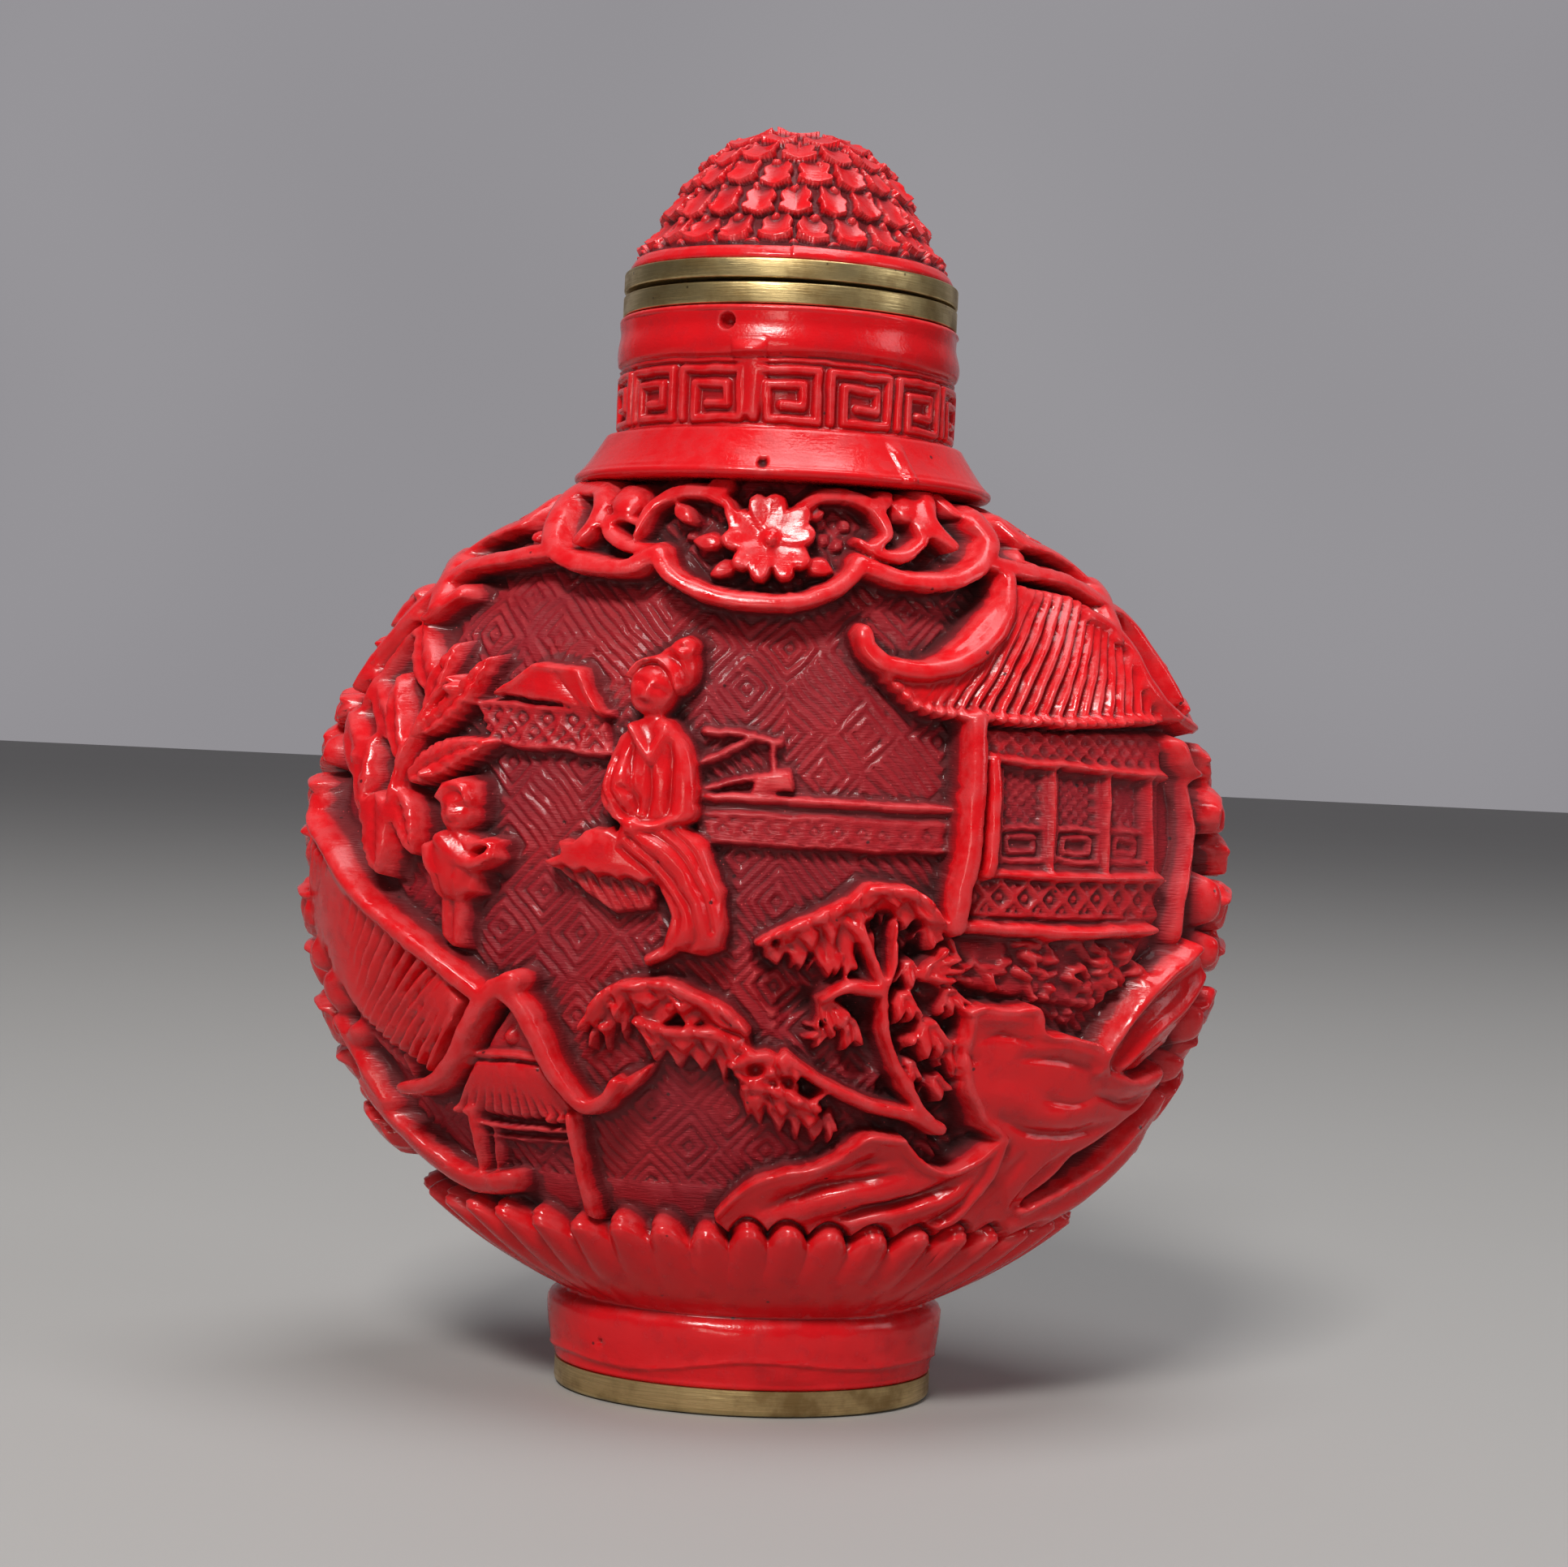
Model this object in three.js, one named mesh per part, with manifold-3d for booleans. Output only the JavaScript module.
// A carved cinnabar-lacquer snuff bottle with its stopper in place.
// Millimetres, +Z up. The origin is the centre of the foot's underside, +X runs along the bottle's width,
// and the main scene faces -Y. The flask is a flattened oval, hollow, and open at the neck.
//
// The carving is laid out in panel coordinates: s, the distance round the flask from a panel's middle line,
// z, the height, and h, how far a form stands above the carved ground. place() turns them into space.
import * as THREE from "three";
import { mergeVertices } from "three/addons/utils/BufferGeometryUtils.js";
import Module from "manifold-3d";

// ---- Driving dimensions ----------------------------------------------------------------------------------

const RELIEF = 2.2; // from the carved ground to the skin, the flask's outermost surface
const EMBED = 0.8; // how far each carved form is sunk below the ground that it grows from
const WALL = 3; // from the carved ground to the hollow inside
const MIDDLE = 1.2; // the level at which distances round the flask are measured

const WAIST_Z = 30; // the height of the widest section
const SKIN = {
  halfWidth: 27.5,
  halfDepth: 16.5,
  riseWidth: 25.3, // vertical half axes of the outline above and below the waist
  riseDepth: 31.3,
  fallWidth: 26.3,
  fallDepth: 27.7,
};

const BASE = { top: 1.5, width: 11.1, depth: 8, edge: 0.5, rim: 2.2, recess: 0.5 };
const FOOT = { top: 5.5, width: 11.7, depth: 8.5, neckWidth: 10.7, neckDepth: 7.6 };
const BAND = { bottom: 5.9, top: 10.9, petals: 34, flute: 0.6, lip: 0.5 };
const SHOULDER_Z = 52.5; // the underside of the flange
const FLANGE = { rim: 12.1, waist: 10.5, top: 55.5 };
const NECK = { radius: 9.7, swell: 9.95, top: 62.5, bore: 4.5 };
const CHAMBER = { floor: 7.5, shoulder: 47, throat: 50.5 };
const COLLAR = { radius: 9.8, height: 1.1, chamfer: 0.15, bore: 4 };
const GAP = 0.15; // between neighbouring pieces that rest on each other
const SPIGOT = { radius: 3.7, length: 3 };
const DOME = { radius: 9.3, band: 1, bottom: 65.3, top: 74, tiers: 4, petals: 15, step: 0.5 };
const FRET = { units: 12, bottom: 55.9, top: 59.2, line: 0.42, height: 0.3 };

const FACETS = 28; // sides of the round parts
const BORE_FACETS = 18;
const FRONT = 0;
const RIGHT = Math.PI / 2;
const BACK = Math.PI;
const LEFT = -Math.PI / 2;

const wasm = await Module();
wasm.setup();

// ---- From panel coordinates to space ---------------------------------------------------------------------

// The half axes of the horizontal section at height z, h above the ground.
function section(z, h) {
  const dz = z - WAIST_Z;
  const oval = (reach) => Math.sqrt(Math.max(0, 1 - (dz / reach) ** 2));
  const width = SKIN.halfWidth * oval(dz > 0 ? SKIN.riseWidth : SKIN.fallWidth);
  const depth = SKIN.halfDepth * oval(dz > 0 ? SKIN.riseDepth : SKIN.fallDepth);
  return [width - RELIEF + h, depth - RELIEF + h];
}

// The angle round the section that lies s millimetres from a panel's middle line.
function turn(panel, s, z) {
  const [a, b] = section(z, MIDDLE);
  const steps = 40;
  const speed = (t) => 1 / Math.hypot(a * Math.cos(t), b * Math.sin(t));
  let t = panel;
  for (let i = 0; i < steps; i++) {
    const half = t + (speed(t) * s) / steps / 2;
    t += (speed(half) * s) / steps;
  }
  return t;
}

function place(panel, [s, z, h]) {
  const t = turn(panel, s, z);
  const [a, b] = section(z, h);
  return [a * Math.sin(t), -b * Math.cos(t), z];
}

// ---- Closed solids ---------------------------------------------------------------------------------------

// Triangles may be listed either way round: a solid that comes out inside out is turned.
function solidOf(points, triangles) {
  const build = (faces) => {
    const geometry = new THREE.BufferGeometry();
    geometry.setAttribute("position", new THREE.Float32BufferAttribute(points.flat(), 3));
    geometry.setIndex(faces.flat());
    return solidOfGeometry(geometry);
  };
  const solid = build(triangles);
  return solid.volume() > 0 ? solid : build(triangles.map(([a, b, c]) => [a, c, b]));
}

function solidOfGeometry(geometry) {
  geometry.deleteAttribute("normal");
  geometry.deleteAttribute("uv");
  const merged = mergeVertices(geometry, 1e-4);
  return new wasm.Manifold(
    new wasm.Mesh({
      numProp: 3,
      vertProperties: new Float32Array(merged.attributes.position.array),
      triVerts: new Uint32Array(merged.index.array),
    }),
  );
}

// A solid through a row of loops with the same number of points, closed by a fan at each end.
function loft(loops) {
  const n = loops[0].length;
  const triangles = [];
  for (let i = 0; i + 1 < loops.length; i++) {
    for (let j = 0; j < n; j++) {
      const k = (j + 1) % n;
      const [p, q, r, s] = [i * n + j, i * n + k, (i + 1) * n + k, (i + 1) * n + j];
      triangles.push([p, q, r], [p, r, s]);
    }
  }
  const last = (loops.length - 1) * n;
  for (let j = 1; j + 1 < n; j++) triangles.push([0, j + 1, j], [last, last + j, last + j + 1]);
  return solidOf(loops.flat(), triangles);
}

// A horizontal oval with half axes a and b.
function oval(z, a, b, facets = FACETS, ripple = () => 0) {
  return Array.from({ length: facets }, (_, i) => {
    const t = (2 * Math.PI * i) / facets;
    return [(a + ripple(i)) * Math.cos(t), (b + ripple(i)) * Math.sin(t), z];
  });
}

const round = (z, r, facets = FACETS, ripple) => oval(z, r, r, facets, ripple);

// A plate whose outline is a list of [s, z] corners, anticlockwise, standing h above the ground.
function plate(panel, outline, h) {
  const shape = new THREE.Shape(outline.map(([s, z]) => new THREE.Vector2(s, z)));
  const geometry = new THREE.ExtrudeGeometry(shape, { depth: h + EMBED, bevelEnabled: false });
  const position = geometry.attributes.position;
  for (let i = 0; i < position.count; i++) {
    const at = [position.getX(i), position.getY(i), position.getZ(i) - EMBED];
    position.setXYZ(i, ...place(panel, at));
  }
  return solidOfGeometry(geometry);
}

// A ridge along [s, z] points, with its crown h above the ground. Its radius tapers to its ends, and its
// section is a flat-topped wedge, or a rounded one where fine is true.
function ridge(panel, points, radius, h, taper = [1, 1], count = points.length, fine = false) {
  const path = new THREE.SplineCurve(points.map(([s, z]) => new THREE.Vector2(s, z)));
  const section = fine
    ? [[1, -EMBED], [0.9, h * 0.7], [0, h], [-0.9, h * 0.7], [-1, -EMBED]]
    : [[1, -EMBED], [0.55, h], [-0.55, h], [-1, -EMBED]];
  const loops = [];
  for (let i = 0; i <= count; i++) {
    const u = i / count;
    const at = path.getPoint(u);
    const along = path.getTangent(u);
    const r = radius * THREE.MathUtils.lerp(taper[0], taper[1], u);
    loops.push(
      section.map(([x, up]) => place(panel, [at.x - along.y * x * r, at.y + along.x * x * r, up])),
    );
  }
  return loft(loops);
}

// A patch between an upper and a lower edge, which ribs follow down its fall, as tiles do on a roof.
function patch(panel, upper, lower, ribs, hTop, hBottom, ribHeight = 0.45) {
  const edge = (points) => new THREE.SplineCurve(points.map(([s, z]) => new THREE.Vector2(s, z)));
  const [top, bottom] = [edge(upper), edge(lower)];
  const columns = Math.max(2, ribs * 2);
  const loops = [];
  for (let i = 0; i <= columns; i++) {
    const a = top.getPoint(i / columns);
    const b = bottom.getPoint(i / columns);
    const rib = ribs && i % 2 ? ribHeight : 0;
    const loop = [
      [a.x, a.y, -EMBED],
      [b.x, b.y, -EMBED],
      [b.x, b.y, hBottom + rib],
      [a.x, a.y, hTop + rib],
    ];
    loops.push(loop.map((point) => place(panel, point)));
  }
  return loft(loops);
}

// A boss: an oval of half axes rs and rz, tilted by an angle, narrowing to its top at h.
function lump(panel, [s, z], rs, rz, h, tilt = 0, sides = 6) {
  const ring = (share, up) =>
    Array.from({ length: sides }, (_, i) => {
      const t = (2 * Math.PI * i) / sides;
      const x = rs * share * Math.cos(t);
      const y = rz * share * Math.sin(t);
      const [c, n] = [Math.cos(tilt), Math.sin(tilt)];
      return place(panel, [s + x * c - y * n, z + x * n + y * c, up]);
    });
  return loft([ring(1.1, -EMBED), ring(0.7, h)]);
}

// A pointed leaf from base to tip.
function leaf(panel, [s0, z0], [s1, z1], width, h) {
  const [ds, dz] = [s1 - s0, z1 - z0];
  const length = Math.hypot(ds, dz);
  const [ns, nz] = [(-dz / length) * width * 0.5, (ds / length) * width * 0.5];
  const at = (u, side) => [s0 + ds * u + ns * side, z0 + dz * u + nz * side];
  return plate(panel, [at(0, 0), at(0.4, -1), at(1, 0), at(0.4, 1)], h);
}

// A tuft of foliage: a star with rounded lobes.
function tuft(panel, [s, z], radius, h, lobes = 4, lean = 0) {
  const outline = Array.from({ length: lobes * 2 }, (_, i) => {
    const r = i % 2 ? radius * 0.5 : radius;
    const t = lean + (Math.PI * i) / lobes;
    return [s + r * Math.cos(t), z + r * Math.sin(t)];
  });
  return plate(panel, outline, h);
}

const bar = (panel, s0, z0, s1, z1, h) =>
  plate(panel, [[s0, z0], [s1, z0], [s1, z1], [s0, z1]], h);

// ---- The carved scenes -----------------------------------------------------------------------------------

// The lobed frame of one shoulder cartouche, and the scrolls that end it.
function cartouche(panel, segments, scrolls = false) {
  const half = [[0, 46.2], [2.6, 46.5], [5.4, 47.7], [8.2, 47.2], [11.2, 48.4], [12.4, 50.6]];
  const mirrored = half.slice(1).reverse().map(([s, z]) => [-s, z]);
  const solids = [ridge(panel, [...mirrored, ...half], 0.75, 2.3, [0.9, 0.9], segments)];
  for (const side of scrolls ? [1, -1] : []) {
    const scroll = [[11.9, 51.4], [10.3, 51.6], [9.9, 49.6]];
    solids.push(ridge(panel, scroll.map(([s, z]) => [s * side, z]), 0.7, 2.1, [0.7, 1], 2));
  }
  return solids;
}

// The low arch of frame between the front and back cartouches.
function sideArch(panel) {
  return [ridge(panel, [[-7, 45], [0, 48.4], [7, 45]], 0.8, 2.2, [0.9, 0.9], 2)];
}

// A five-petalled blossom between two curled leaves, inside a cartouche.
function blossom(panel, curls) {
  const centre = [0, 49.4];
  const solids = [tuft(panel, centre, 2.4, 1.5, 5, Math.PI / 2), lump(panel, centre, 0.5, 0.5, 2, 0, 5)];
  for (const side of curls ? [1, -1] : []) {
    const curl = [[2.8, 50.8], [4.4, 51.6], [6, 50.4], [8.4, 49.6]];
    solids.push(ridge(panel, curl.map(([x, y]) => [x * side, y]), 0.55, 1.7, [0.6, 1.3], 3));
  }
  return solids;
}

// The large pavilion: a sweeping tiled roof, a beam, a column, and a latticed front above a balustrade.
function pavilion() {
  const solids = [
    patch(FRONT, [[12, 46], [13.4, 47.2], [18.5, 46.6], [21, 44.8], [24.6, 41.2]],
      [[6.6, 41.7], [10.5, 40.2], [16, 39.7], [21, 39.7], [25, 39.6]], 8, 1.4, 1.1),
    ridge(FRONT, [[12.8, 47.8], [12.2, 45], [10.2, 43.3], [7.5, 42.7], [5.6, 43.2], [4.9, 44.4]], 0.75, 2.4,
      [1, 0.6], 6, true),
    ridge(FRONT, [[19, 46.2], [21.6, 44.4], [23.6, 42], [27.5, 40.7]], 0.7, 2.2, [0.7, 1], 4, true),
    ridge(FRONT, [[6.2, 41.9], [8, 40.7], [11, 40], [16, 39.8], [25, 39.7]], 0.42, 1.7, [1, 1], 4),
    patch(FRONT, [[11.8, 39.6], [24.8, 39.6]], [[11.8, 37.3], [24.8, 37.3]], 0, 1.2, 1.2),
    ridge(FRONT, [[11.2, 39.8], [11.1, 35], [10.8, 28.6]], 0.7, 2.2, [1, 1.1], 1),
    ridge(FRONT, [[11.6, 31.6], [18.3, 31.6], [24.6, 31.6]], 0.45, 1.6, [1, 1], 2),
    patch(FRONT, [[11.6, 37.6], [24.6, 37.6]], [[11.6, 29.1], [24.6, 29.1]], 0, 0.7, 0.7),
    ridge(FRONT, [[10, 28.6], [17, 28.6], [24, 28.6]], 0.6, 2, [1, 1], 2),
  ];
  for (const post of [12.5, 16.5, 20.1, 23.7]) {
    solids.push(bar(FRONT, post - 0.4, 31.6, post + 0.4, 37.5, 1.2));
  }
  return solids;
}

// The small gabled pavilion, with its long tiled wing climbing to the left.
function gatehouse() {
  return [
    ridge(FRONT, [[-30, 32.2], [-25, 29.6], [-20, 26.7], [-14.6, 23.5]], 0.6, 2.3, [1, 1], 3, true),
    patch(FRONT, [[-30.5, 31.6], [-24, 28.6], [-16.2, 23.8]], [[-31, 25.5], [-25, 22.4], [-18.6, 18.9]],
      7, 1.5, 1),
    ridge(FRONT, [[-14.2, 24], [-15.8, 21.5], [-17.6, 19], [-20.2, 17.9]], 0.7, 2.4, [1.1, 0.6], 4, true),
    ridge(FRONT, [[-14.2, 24.1], [-12.4, 22.2], [-10.8, 19.3], [-8.6, 18], [-7.4, 19.6]], 0.65, 2.4,
      [1.2, 0.6], 5, true),
    plate(FRONT, [[-15.8, 20.2], [-12.1, 20.2], [-14, 23.6]], 1.1),
    bar(FRONT, -15.9, 19.9, -12, 20.6, 1.5),
    patch(FRONT, [[-15.8, 19.9], [-12.1, 19.9]], [[-17.4, 17.1], [-10.2, 17.1]], 5, 1.2, 0.9, 0.4),
    bar(FRONT, -16.5, 12.8, -15.7, 17.3, 1),
    ridge(FRONT, [[-10.2, 17.2], [-9, 11.2]], 0.45, 1.5, [1, 1], 1),
    ridge(FRONT, [[-28, 15.2], [-22, 14.8], [-15, 12.9]], 0.9, 1.9, [0.9, 1], 3),
  ];
}

// The robed lady, her sleeve and skirt, and the broad leaf that she stands before.
function lady() {
  return [
    lump(FRONT, [-5.7, 41.2], 1.3, 2.2, 2.4, -0.35, 7),
    plate(FRONT, [[-8.7, 35.2], [-7.8, 33.8], [-4.2, 33.8], [-4, 36.5], [-5, 39.2], [-7, 39.2], [-8.7, 37.2]], 1.7),
    lump(FRONT, [-7.5, 35.5], 1.3, 1.7, 2.3, -0.2),
    ridge(FRONT, [[-6.2, 34], [-4.9, 31.4], [-3.6, 29], [-3.7, 26.9]], 1.9, 2.3, [0.9, 1.05], 3, true),
    ridge(FRONT, [[-4.6, 28.6], [-5.7, 26.2]], 0.8, 2.1, [1.2, 0.7], 1),
    plate(FRONT, [[-12, 31], [-8.4, 28.8], [-6, 29], [-6.8, 31.8], [-8.4, 33.3], [-11, 32.6]], 1.8),
  ];
}

function child() {
  return [
    lump(FRONT, [-17.6, 33.8], 1.25, 1.3, 2.1),
    lump(FRONT, [-17.8, 31], 1.4, 2.1, 2),
    ridge(FRONT, [[-17.4, 31.9], [-15.2, 31.3]], 0.6, 2, [1.1, 0.9], 1),
    bar(FRONT, -18.5, 26.5, -16.2, 29.7, 1.2),
  ];
}

// The garden wall behind the figures, and the far roof above it.
function walls() {
  return [
    plate(FRONT, [[-16.6, 37.6], [-8.7, 37.3], [-9, 39.5], [-18, 39.9]], 0.8),
    plate(FRONT, [[-16.4, 40], [-9.3, 39.2], [-10.8, 41.4], [-13.5, 42]], 1.3),
    plate(FRONT, [[-3.8, 33.1], [10.4, 32.9], [10.4, 35], [-3.8, 35.2]], 0.8),
    ridge(FRONT, [[-3.9, 36.9], [-0.6, 38.3]], 0.35, 1, [1, 1], 1),
  ];
}

function broadLeaves() {
  const leaves = [
    [[-20.2, 40.4], [-22.4, 44], 2.2, 1.4],
    [[-22.4, 37.2], [-26, 40.8], 2, 1.3],
    [[-20.4, 38.6], [-16.9, 41.8], 1.6, 1.7],
    [[-22, 34.4], [-22.2, 39.8], 1.5, 1.8],
    [[-22.6, 33.6], [-29, 38.8], 3.2, 2],
    [[-21.6, 34.2], [-16.2, 37.6], 2.8, 2],
    [[-21.8, 34.6], [-22.4, 30.4], 3.2, 2],
  ];
  return leaves.map(([base, tip, width, h]) => leaf(FRONT, base, tip, width, h));
}

// Rocks along the foot of a scene: broad slabs with a crest along each upper edge.
function rocks(panel, side = 1) {
  const mirrored = (points) => points.map(([s, z]) => [s * side, z]);
  const slab = (points, h) => plate(panel, side > 0 ? points : mirrored(points).reverse(), h);
  const crest = (points, radius, h, count) => ridge(panel, mirrored(points), radius, h, [0.9, 1], count);
  return [
    slab([[-2, 10.8], [13.6, 10.8], [13.4, 16.6], [11, 15], [8.6, 17], [6, 16.6], [-2, 13]], 1.9),
    slab([[13.6, 11.2], [22, 14.6], [20, 21.8], [15.8, 22], [15.2, 24], [11.5, 24], [11.6, 19.5],
      [13.6, 16.6]], 2.2),
    crest([[-2, 12.6], [3, 15.1], [6.2, 16.9], [8.4, 16.9]], 0.6, 2.2, 3),
    crest([[19.6, 21.6], [21.6, 24.7], [26, 26.8]], 0.7, 2.3, 2),
    crest([[13.8, 12.2], [18, 14], [23, 15.6]], 0.7, 2.2, 2),
    crest([[12, 24], [15.4, 24], [16, 22.1], [19.4, 21.9]], 0.5, 2.3, 3),
    slab([[21.8, 14.6], [28, 24], [25.6, 26.4], [19.8, 21.8]], 1.9),
  ];
}

// The leaning tree: a forked trunk, a low branch, and foliage in tufts.
function tree() {
  const solids = [
    ridge(FRONT, [[9.8, 17.8], [7.9, 21], [6.8, 24.4], [5.3, 28.8]], 0.5, 2, [1.3, 0.7], 4),
    ridge(FRONT, [[9.6, 18.1], [2.4, 21.2]], 0.45, 1.9, [1.3, 0.7], 1),
  ];
  const tufts = [
    [2, 28.1, 2], [8, 29.8, 2], [4.4, 23.8, 1.6], [9.6, 23.6, 2],
    [-8.2, 22.9, 1.7], [-5.2, 23.8, 2], [-1.9, 22.6, 1.9], [0.6, 19.8, 1.6],
  ];
  tufts.forEach(([s, z, r], i) => solids.push(tuft(FRONT, [s, z], r, 1.9, 4, i * 0.7)));
  return solids;
}

// The rocky spine that closes the scenes off down each edge of the flask.
function spine(panel) {
  const [bottom, top, count] = [18, 40, 3];
  return Array.from({ length: count }, (_, i) => {
    const sway = i % 2 ? 1.4 : -1.4;
    return lump(panel, [sway, bottom + ((top - bottom) * i) / (count - 1)], 2.6, 5, 2.2, sway / 3);
  });
}

// The plainer scene on the back: rocks the other way round, a pavilion, a wall and a few tufts.
function backScene() {
  const roof = [[-25, 39.6], [-20, 39.7], [-14, 39.8], [-7, 41.6]];
  const solids = [
    patch(BACK, [[-24, 41.4], [-19, 46.4], [-13.4, 47.2], [-12, 46]], roof, 4, 1.4, 1.1),
    ridge(BACK, [[-12.6, 47.4], [-10.2, 43.3], [-5.4, 43.6]], 0.75, 2.4, [1, 0.6], 3),
    patch(BACK, [[-24.6, 39.4], [-11.4, 39.4]], [[-24.6, 29.4], [-11.4, 29.4]], 0, 0.8, 0.8),
    ridge(BACK, [[-11, 39.8], [-10.8, 28.6]], 0.7, 2.2, [1, 1.1], 1),
    ridge(BACK, [[8.6, 17], [6, 22], [6.6, 27]], 0.5, 2, [1.3, 0.7], 2),
    ...rocks(BACK, -1).slice(0, 4),
  ];
  const tufts = [[4.2, 27.4], [8.4, 26.4], [16.4, 39]];
  tufts.forEach(([s, z], i) => solids.push(tuft(BACK, [s, z], 2, 1.9, 4, i * 0.8)));
  return solids;
}

// The key fret round the neck: a squared spiral of one raised line, repeated.
function fret() {
  const { units, bottom, top, line, height } = FRET;
  const wide = (2 * Math.PI * NECK.radius) / units;
  const tall = top - bottom;
  // Centre line of one spiral, in millimetres from its lower left corner.
  const path = [[0.5, 0.3], [0.5, tall - 0.3], [wide - 0.5, tall - 0.3], [wide - 0.5, 0.3], [1.7, 0.3],
    [1.7, tall - 1.3]];
  const outline = [...offsetLine(path, line / 2), ...offsetLine(path, -line / 2).reverse()];
  const shape = new THREE.Shape(outline.map(([x, y]) => new THREE.Vector2(x, y)));
  return Array.from({ length: units }, (_, unit) => {
    const geometry = new THREE.ExtrudeGeometry(shape, { depth: 1, bevelEnabled: false });
    const position = geometry.attributes.position;
    for (let i = 0; i < position.count; i++) {
      const t = (unit * wide + position.getX(i)) / NECK.radius;
      const r = NECK.radius + (position.getZ(i) > 0.5 ? height : -EMBED);
      position.setXYZ(i, r * Math.sin(t), -r * Math.cos(t), bottom + position.getY(i));
    }
    return solidOfGeometry(geometry);
  });
}

// A path of upright and level legs, moved sideways by a distance, with square corners.
function offsetLine(path, distance) {
  const leg = (i) => {
    const from = path[Math.max(0, Math.min(i, path.length - 2))];
    const to = path[Math.max(0, Math.min(i, path.length - 2)) + 1];
    const length = Math.hypot(to[0] - from[0], to[1] - from[1]);
    return [(to[0] - from[0]) / length, (to[1] - from[1]) / length];
  };
  return path.map(([x, y], i) => {
    const [before, after] = [leg(i - 1), leg(i)];
    const end = i === 0 || i === path.length - 1;
    const [nx, ny] = end ? [-after[1], after[0]] : [-before[1] - after[1], before[0] + after[0]];
    return [x + nx * distance, y + ny * distance];
  });
}

// ---- The pieces ------------------------------------------------------------------------------------------

function bottleBody() {
  const foot = loft([
    oval(BASE.top, BASE.width, BASE.depth),
    oval(BASE.top + 0.8, FOOT.width, FOOT.depth),
    oval(FOOT.top - 1.3, FOOT.width - 0.1, FOOT.depth - 0.1),
    oval(FOOT.top, FOOT.neckWidth, FOOT.neckDepth),
    oval(BAND.bottom + 0.4, ...section(BAND.bottom + 0.4, 0)),
  ]);
  const rows = 6;
  const flaskLoops = [];
  for (let i = 0; i <= rows; i++) {
    const z = BAND.bottom - 0.2 + ((SHOULDER_Z + 0.3 - BAND.bottom) * i) / rows;
    flaskLoops.push(oval(z, ...section(z, 0)));
  }
  const neck = loft([
    round(SHOULDER_Z, FLANGE.rim),
    round(FLANGE.top, FLANGE.waist),
    round(FLANGE.top + 0.2, NECK.radius),
    round(FRET.top + 0.2, NECK.radius),
    round(FRET.top + 0.5, NECK.swell),
    round(NECK.top, COLLAR.radius),
  ]);
  // Petals round the foot of the flask: crests at each even facet, flutes between them.
  const petalFacets = BAND.petals * 2;
  const flute = (i) => (i % 2 ? -BAND.flute : 0);
  const bandLoops = [BAND.bottom, BAND.top - 0.8, BAND.top].map((z, i) => {
    const [a, b] = section(z, RELIEF - (i === 2 ? BAND.lip : 0));
    return oval(z, a, b, petalFacets, flute);
  });
  let body = foot.add(loft(flaskLoops)).add(neck).add(loft(bandLoops));
  const carving = [
    ...cartouche(FRONT, 10, true),
    ...cartouche(BACK, 6),
    ...sideArch(RIGHT),
    ...sideArch(LEFT),
    ...blossom(FRONT, true),
    ...blossom(BACK, false),
    ...pavilion(),
    ...gatehouse(),
    ...lady(),
    ...child(),
    ...walls(),
    ...broadLeaves(),
    ...rocks(FRONT),
    ...tree(),
    ...spine(RIGHT),
    ...spine(LEFT),
    ...backScene(),
    ...fret(),
  ];
  for (const form of carving) body = body.add(form);
  return body.subtract(hollow());
}

// The empty inside: an oval chamber, rounded at the bottom, that closes in to a round bore through the neck.
function hollow() {
  const { floor, shoulder, throat } = CHAMBER;
  const rounding = [0.6, 0.92, 1, 1, 1, 1];
  const loops = rounding.map((share, i) => {
    const z = i < 2 ? floor + i * 2.5 : floor + 2.5 + ((shoulder - floor - 2.5) * (i - 1)) / (rounding.length - 2);
    const [a, b] = section(z, -WALL);
    return oval(z, a * share, b * share, BORE_FACETS);
  });
  loops.push(round(throat, NECK.bore, BORE_FACETS), round(NECK.top + 1, NECK.bore, BORE_FACETS));
  return loft(loops);
}

// A brass collar with a round bore, its outer arrises eased.
function neckCollar() {
  const { radius, height, chamfer, bore } = COLLAR;
  const bottom = NECK.top + GAP;
  const ring = loft([
    round(bottom, radius),
    round(bottom + height - chamfer, radius),
    round(bottom + height, radius - chamfer),
  ]);
  return ring.subtract(loft([round(bottom - 1, bore, BORE_FACETS), round(bottom + height + 1, bore, BORE_FACETS)]));
}

// The stopper's brass collar, turned in one with the spigot that drops into the neck.
function stopperCollar() {
  const { radius, height, chamfer } = COLLAR;
  const bottom = NECK.top + height + 2 * GAP;
  const disc = loft([
    round(bottom, radius - chamfer),
    round(bottom + chamfer, radius),
    round(bottom + height, radius),
  ]);
  return disc.add(
    loft([
      round(bottom - SPIGOT.length, SPIGOT.radius - 0.3, BORE_FACETS),
      round(bottom - SPIGOT.length + 0.4, SPIGOT.radius, BORE_FACETS),
      round(bottom + height / 2, SPIGOT.radius, BORE_FACETS),
    ]),
  );
}

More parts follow.
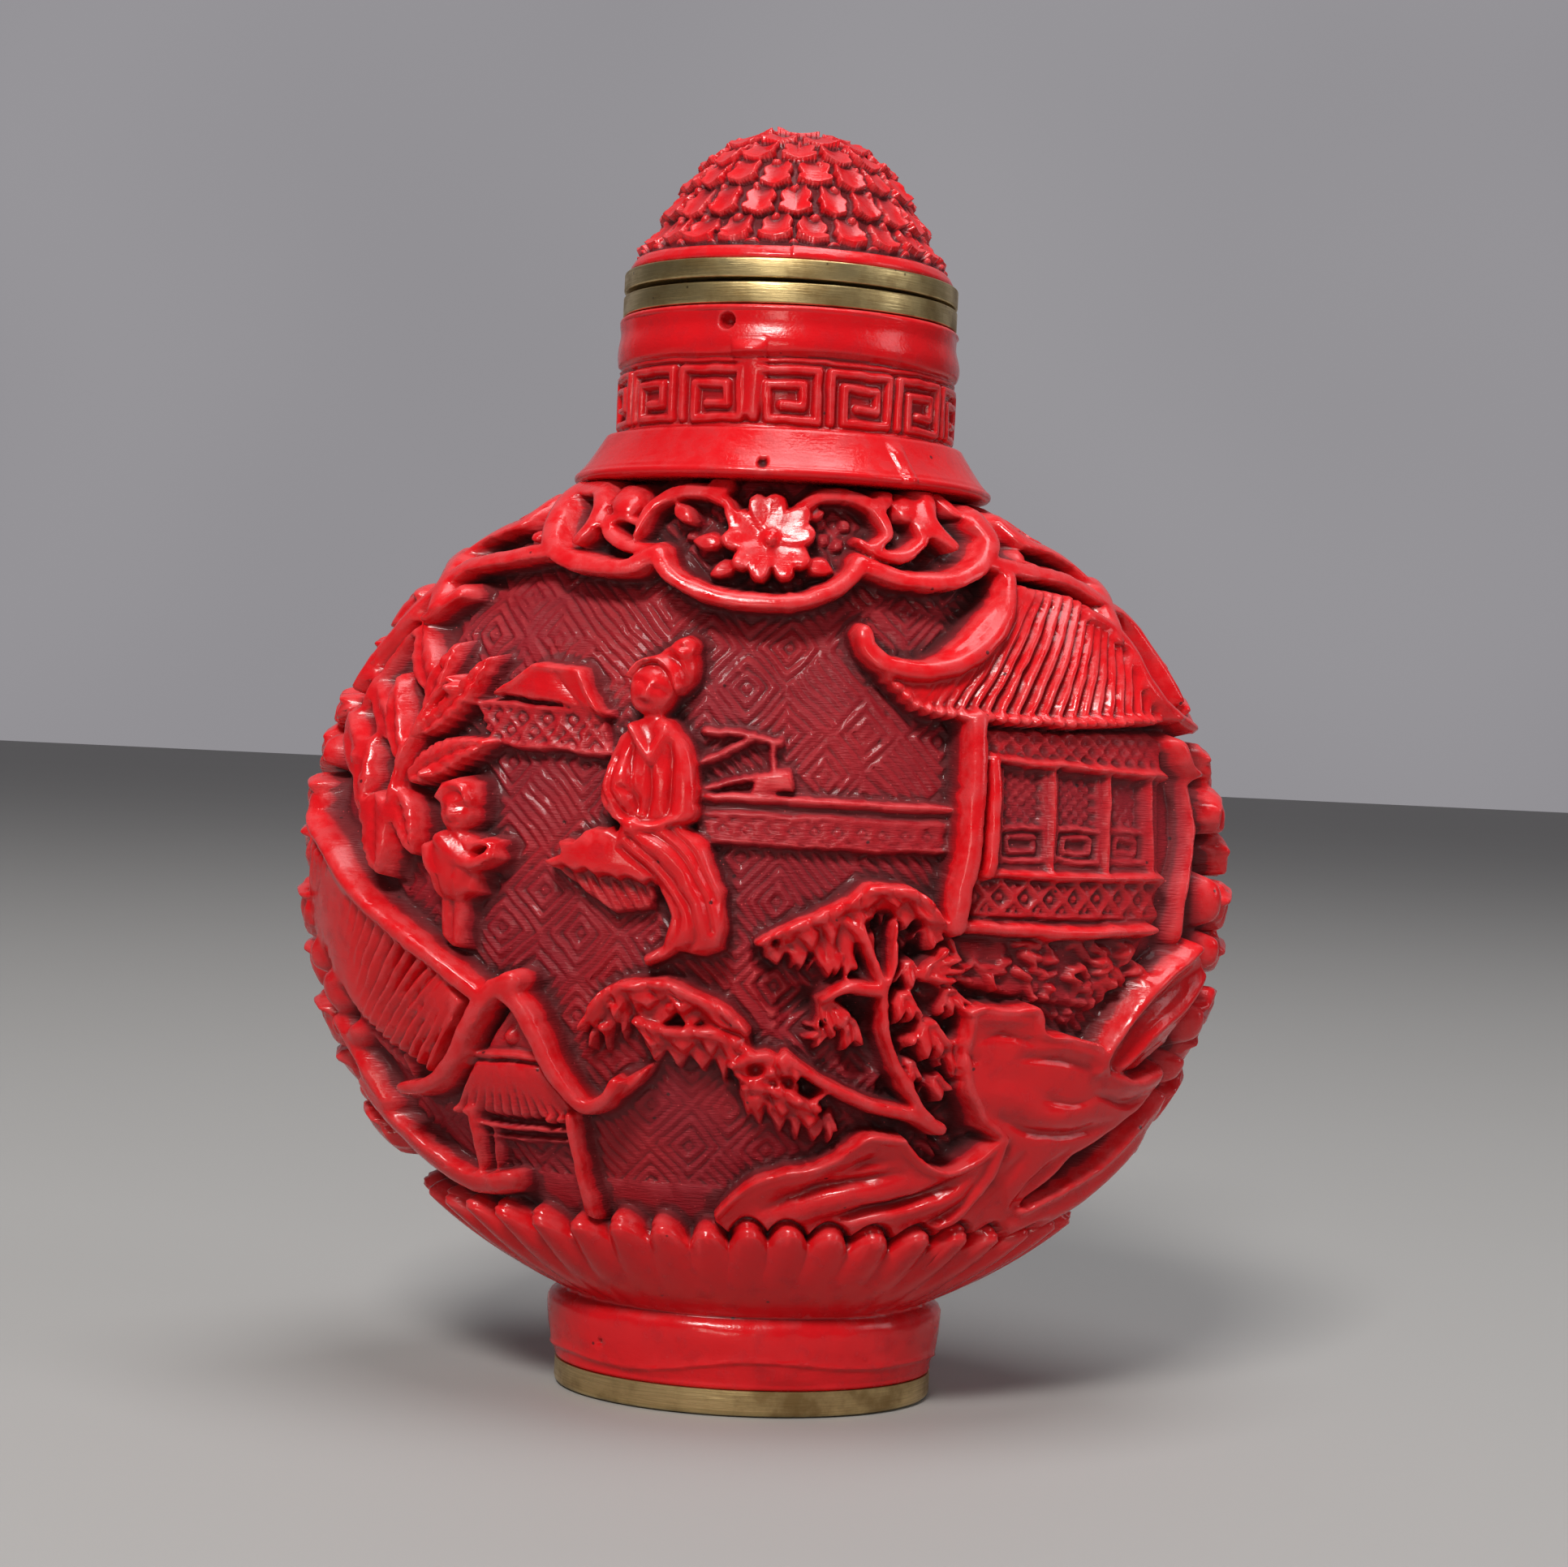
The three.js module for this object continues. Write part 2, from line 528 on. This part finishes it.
// The lacquer dome: a plain band, then tiers of petals that overlap downwards, alternate tiers staggered.
function stopperDome() {
  const { radius, band, bottom, top, tiers, petals, step } = DOME;
  const facets = petals * 2;
  const start = bottom + band;
  const slope = 0.8; // the dome is a blunt bullet, fuller than a half ball
  const profile = (u) => ({
    z: start + (top - start) * Math.sin((u * Math.PI) / 2) ** slope,
    r: (radius - 0.5) * Math.cos((u * Math.PI) / 2) ** slope,
  });
  const loops = [round(bottom, radius, facets), round(start, radius - 0.5, facets)];
  for (let tier = 0; tier < tiers; tier++) {
    const low = profile((tier + 0.12) / (tiers + 0.35));
    const high = profile((tier + 0.98) / (tiers + 0.35));
    const tip = (i) => ((i + tier) % 2 ? -step : 0);
    loops.push(round(low.z, low.r, facets, tip));
    loops.push(round(high.z, high.r - step, facets));
  }
  const crown = profile((tiers + 0.2) / (tiers + 0.35));
  loops.push(round(top, crown.r, facets));
  return loft(loops);
}

function basePlate() {
  const { top, width, depth, edge, rim, recess } = BASE;
  const disc = loft([
    oval(0, width - edge, depth - edge),
    oval(edge, width, depth),
    oval(top, width, depth),
  ]);
  return disc.subtract(
    loft([-1, recess].map((z) => oval(z, width - rim, depth - rim))),
  );
}

const lacquer = new THREE.MeshStandardMaterial({ color: 0xc4161c, roughness: 0.32, metalness: 0 });
const brass = new THREE.MeshStandardMaterial({ color: 0xa98a4a, roughness: 0.35, metalness: 1 });

function meshOf(name, solid, material) {
  const made = solid.getMesh();
  const geometry = new THREE.BufferGeometry();
  geometry.setAttribute("position", new THREE.BufferAttribute(made.vertProperties, 3));
  geometry.setIndex(new THREE.BufferAttribute(made.triVerts, 1));
  geometry.computeVertexNormals();
  const mesh = new THREE.Mesh(geometry, material);
  mesh.name = name;
  return mesh;
}

const bottle = new THREE.Group();
bottle.add(meshOf("base_plate", basePlate(), brass));
bottle.add(meshOf("bottle_body", bottleBody(), lacquer));
bottle.add(meshOf("neck_collar", neckCollar(), brass));
bottle.add(meshOf("stopper_collar", stopperCollar(), brass));
bottle.add(meshOf("stopper_dome", stopperDome(), lacquer));

export default bottle;
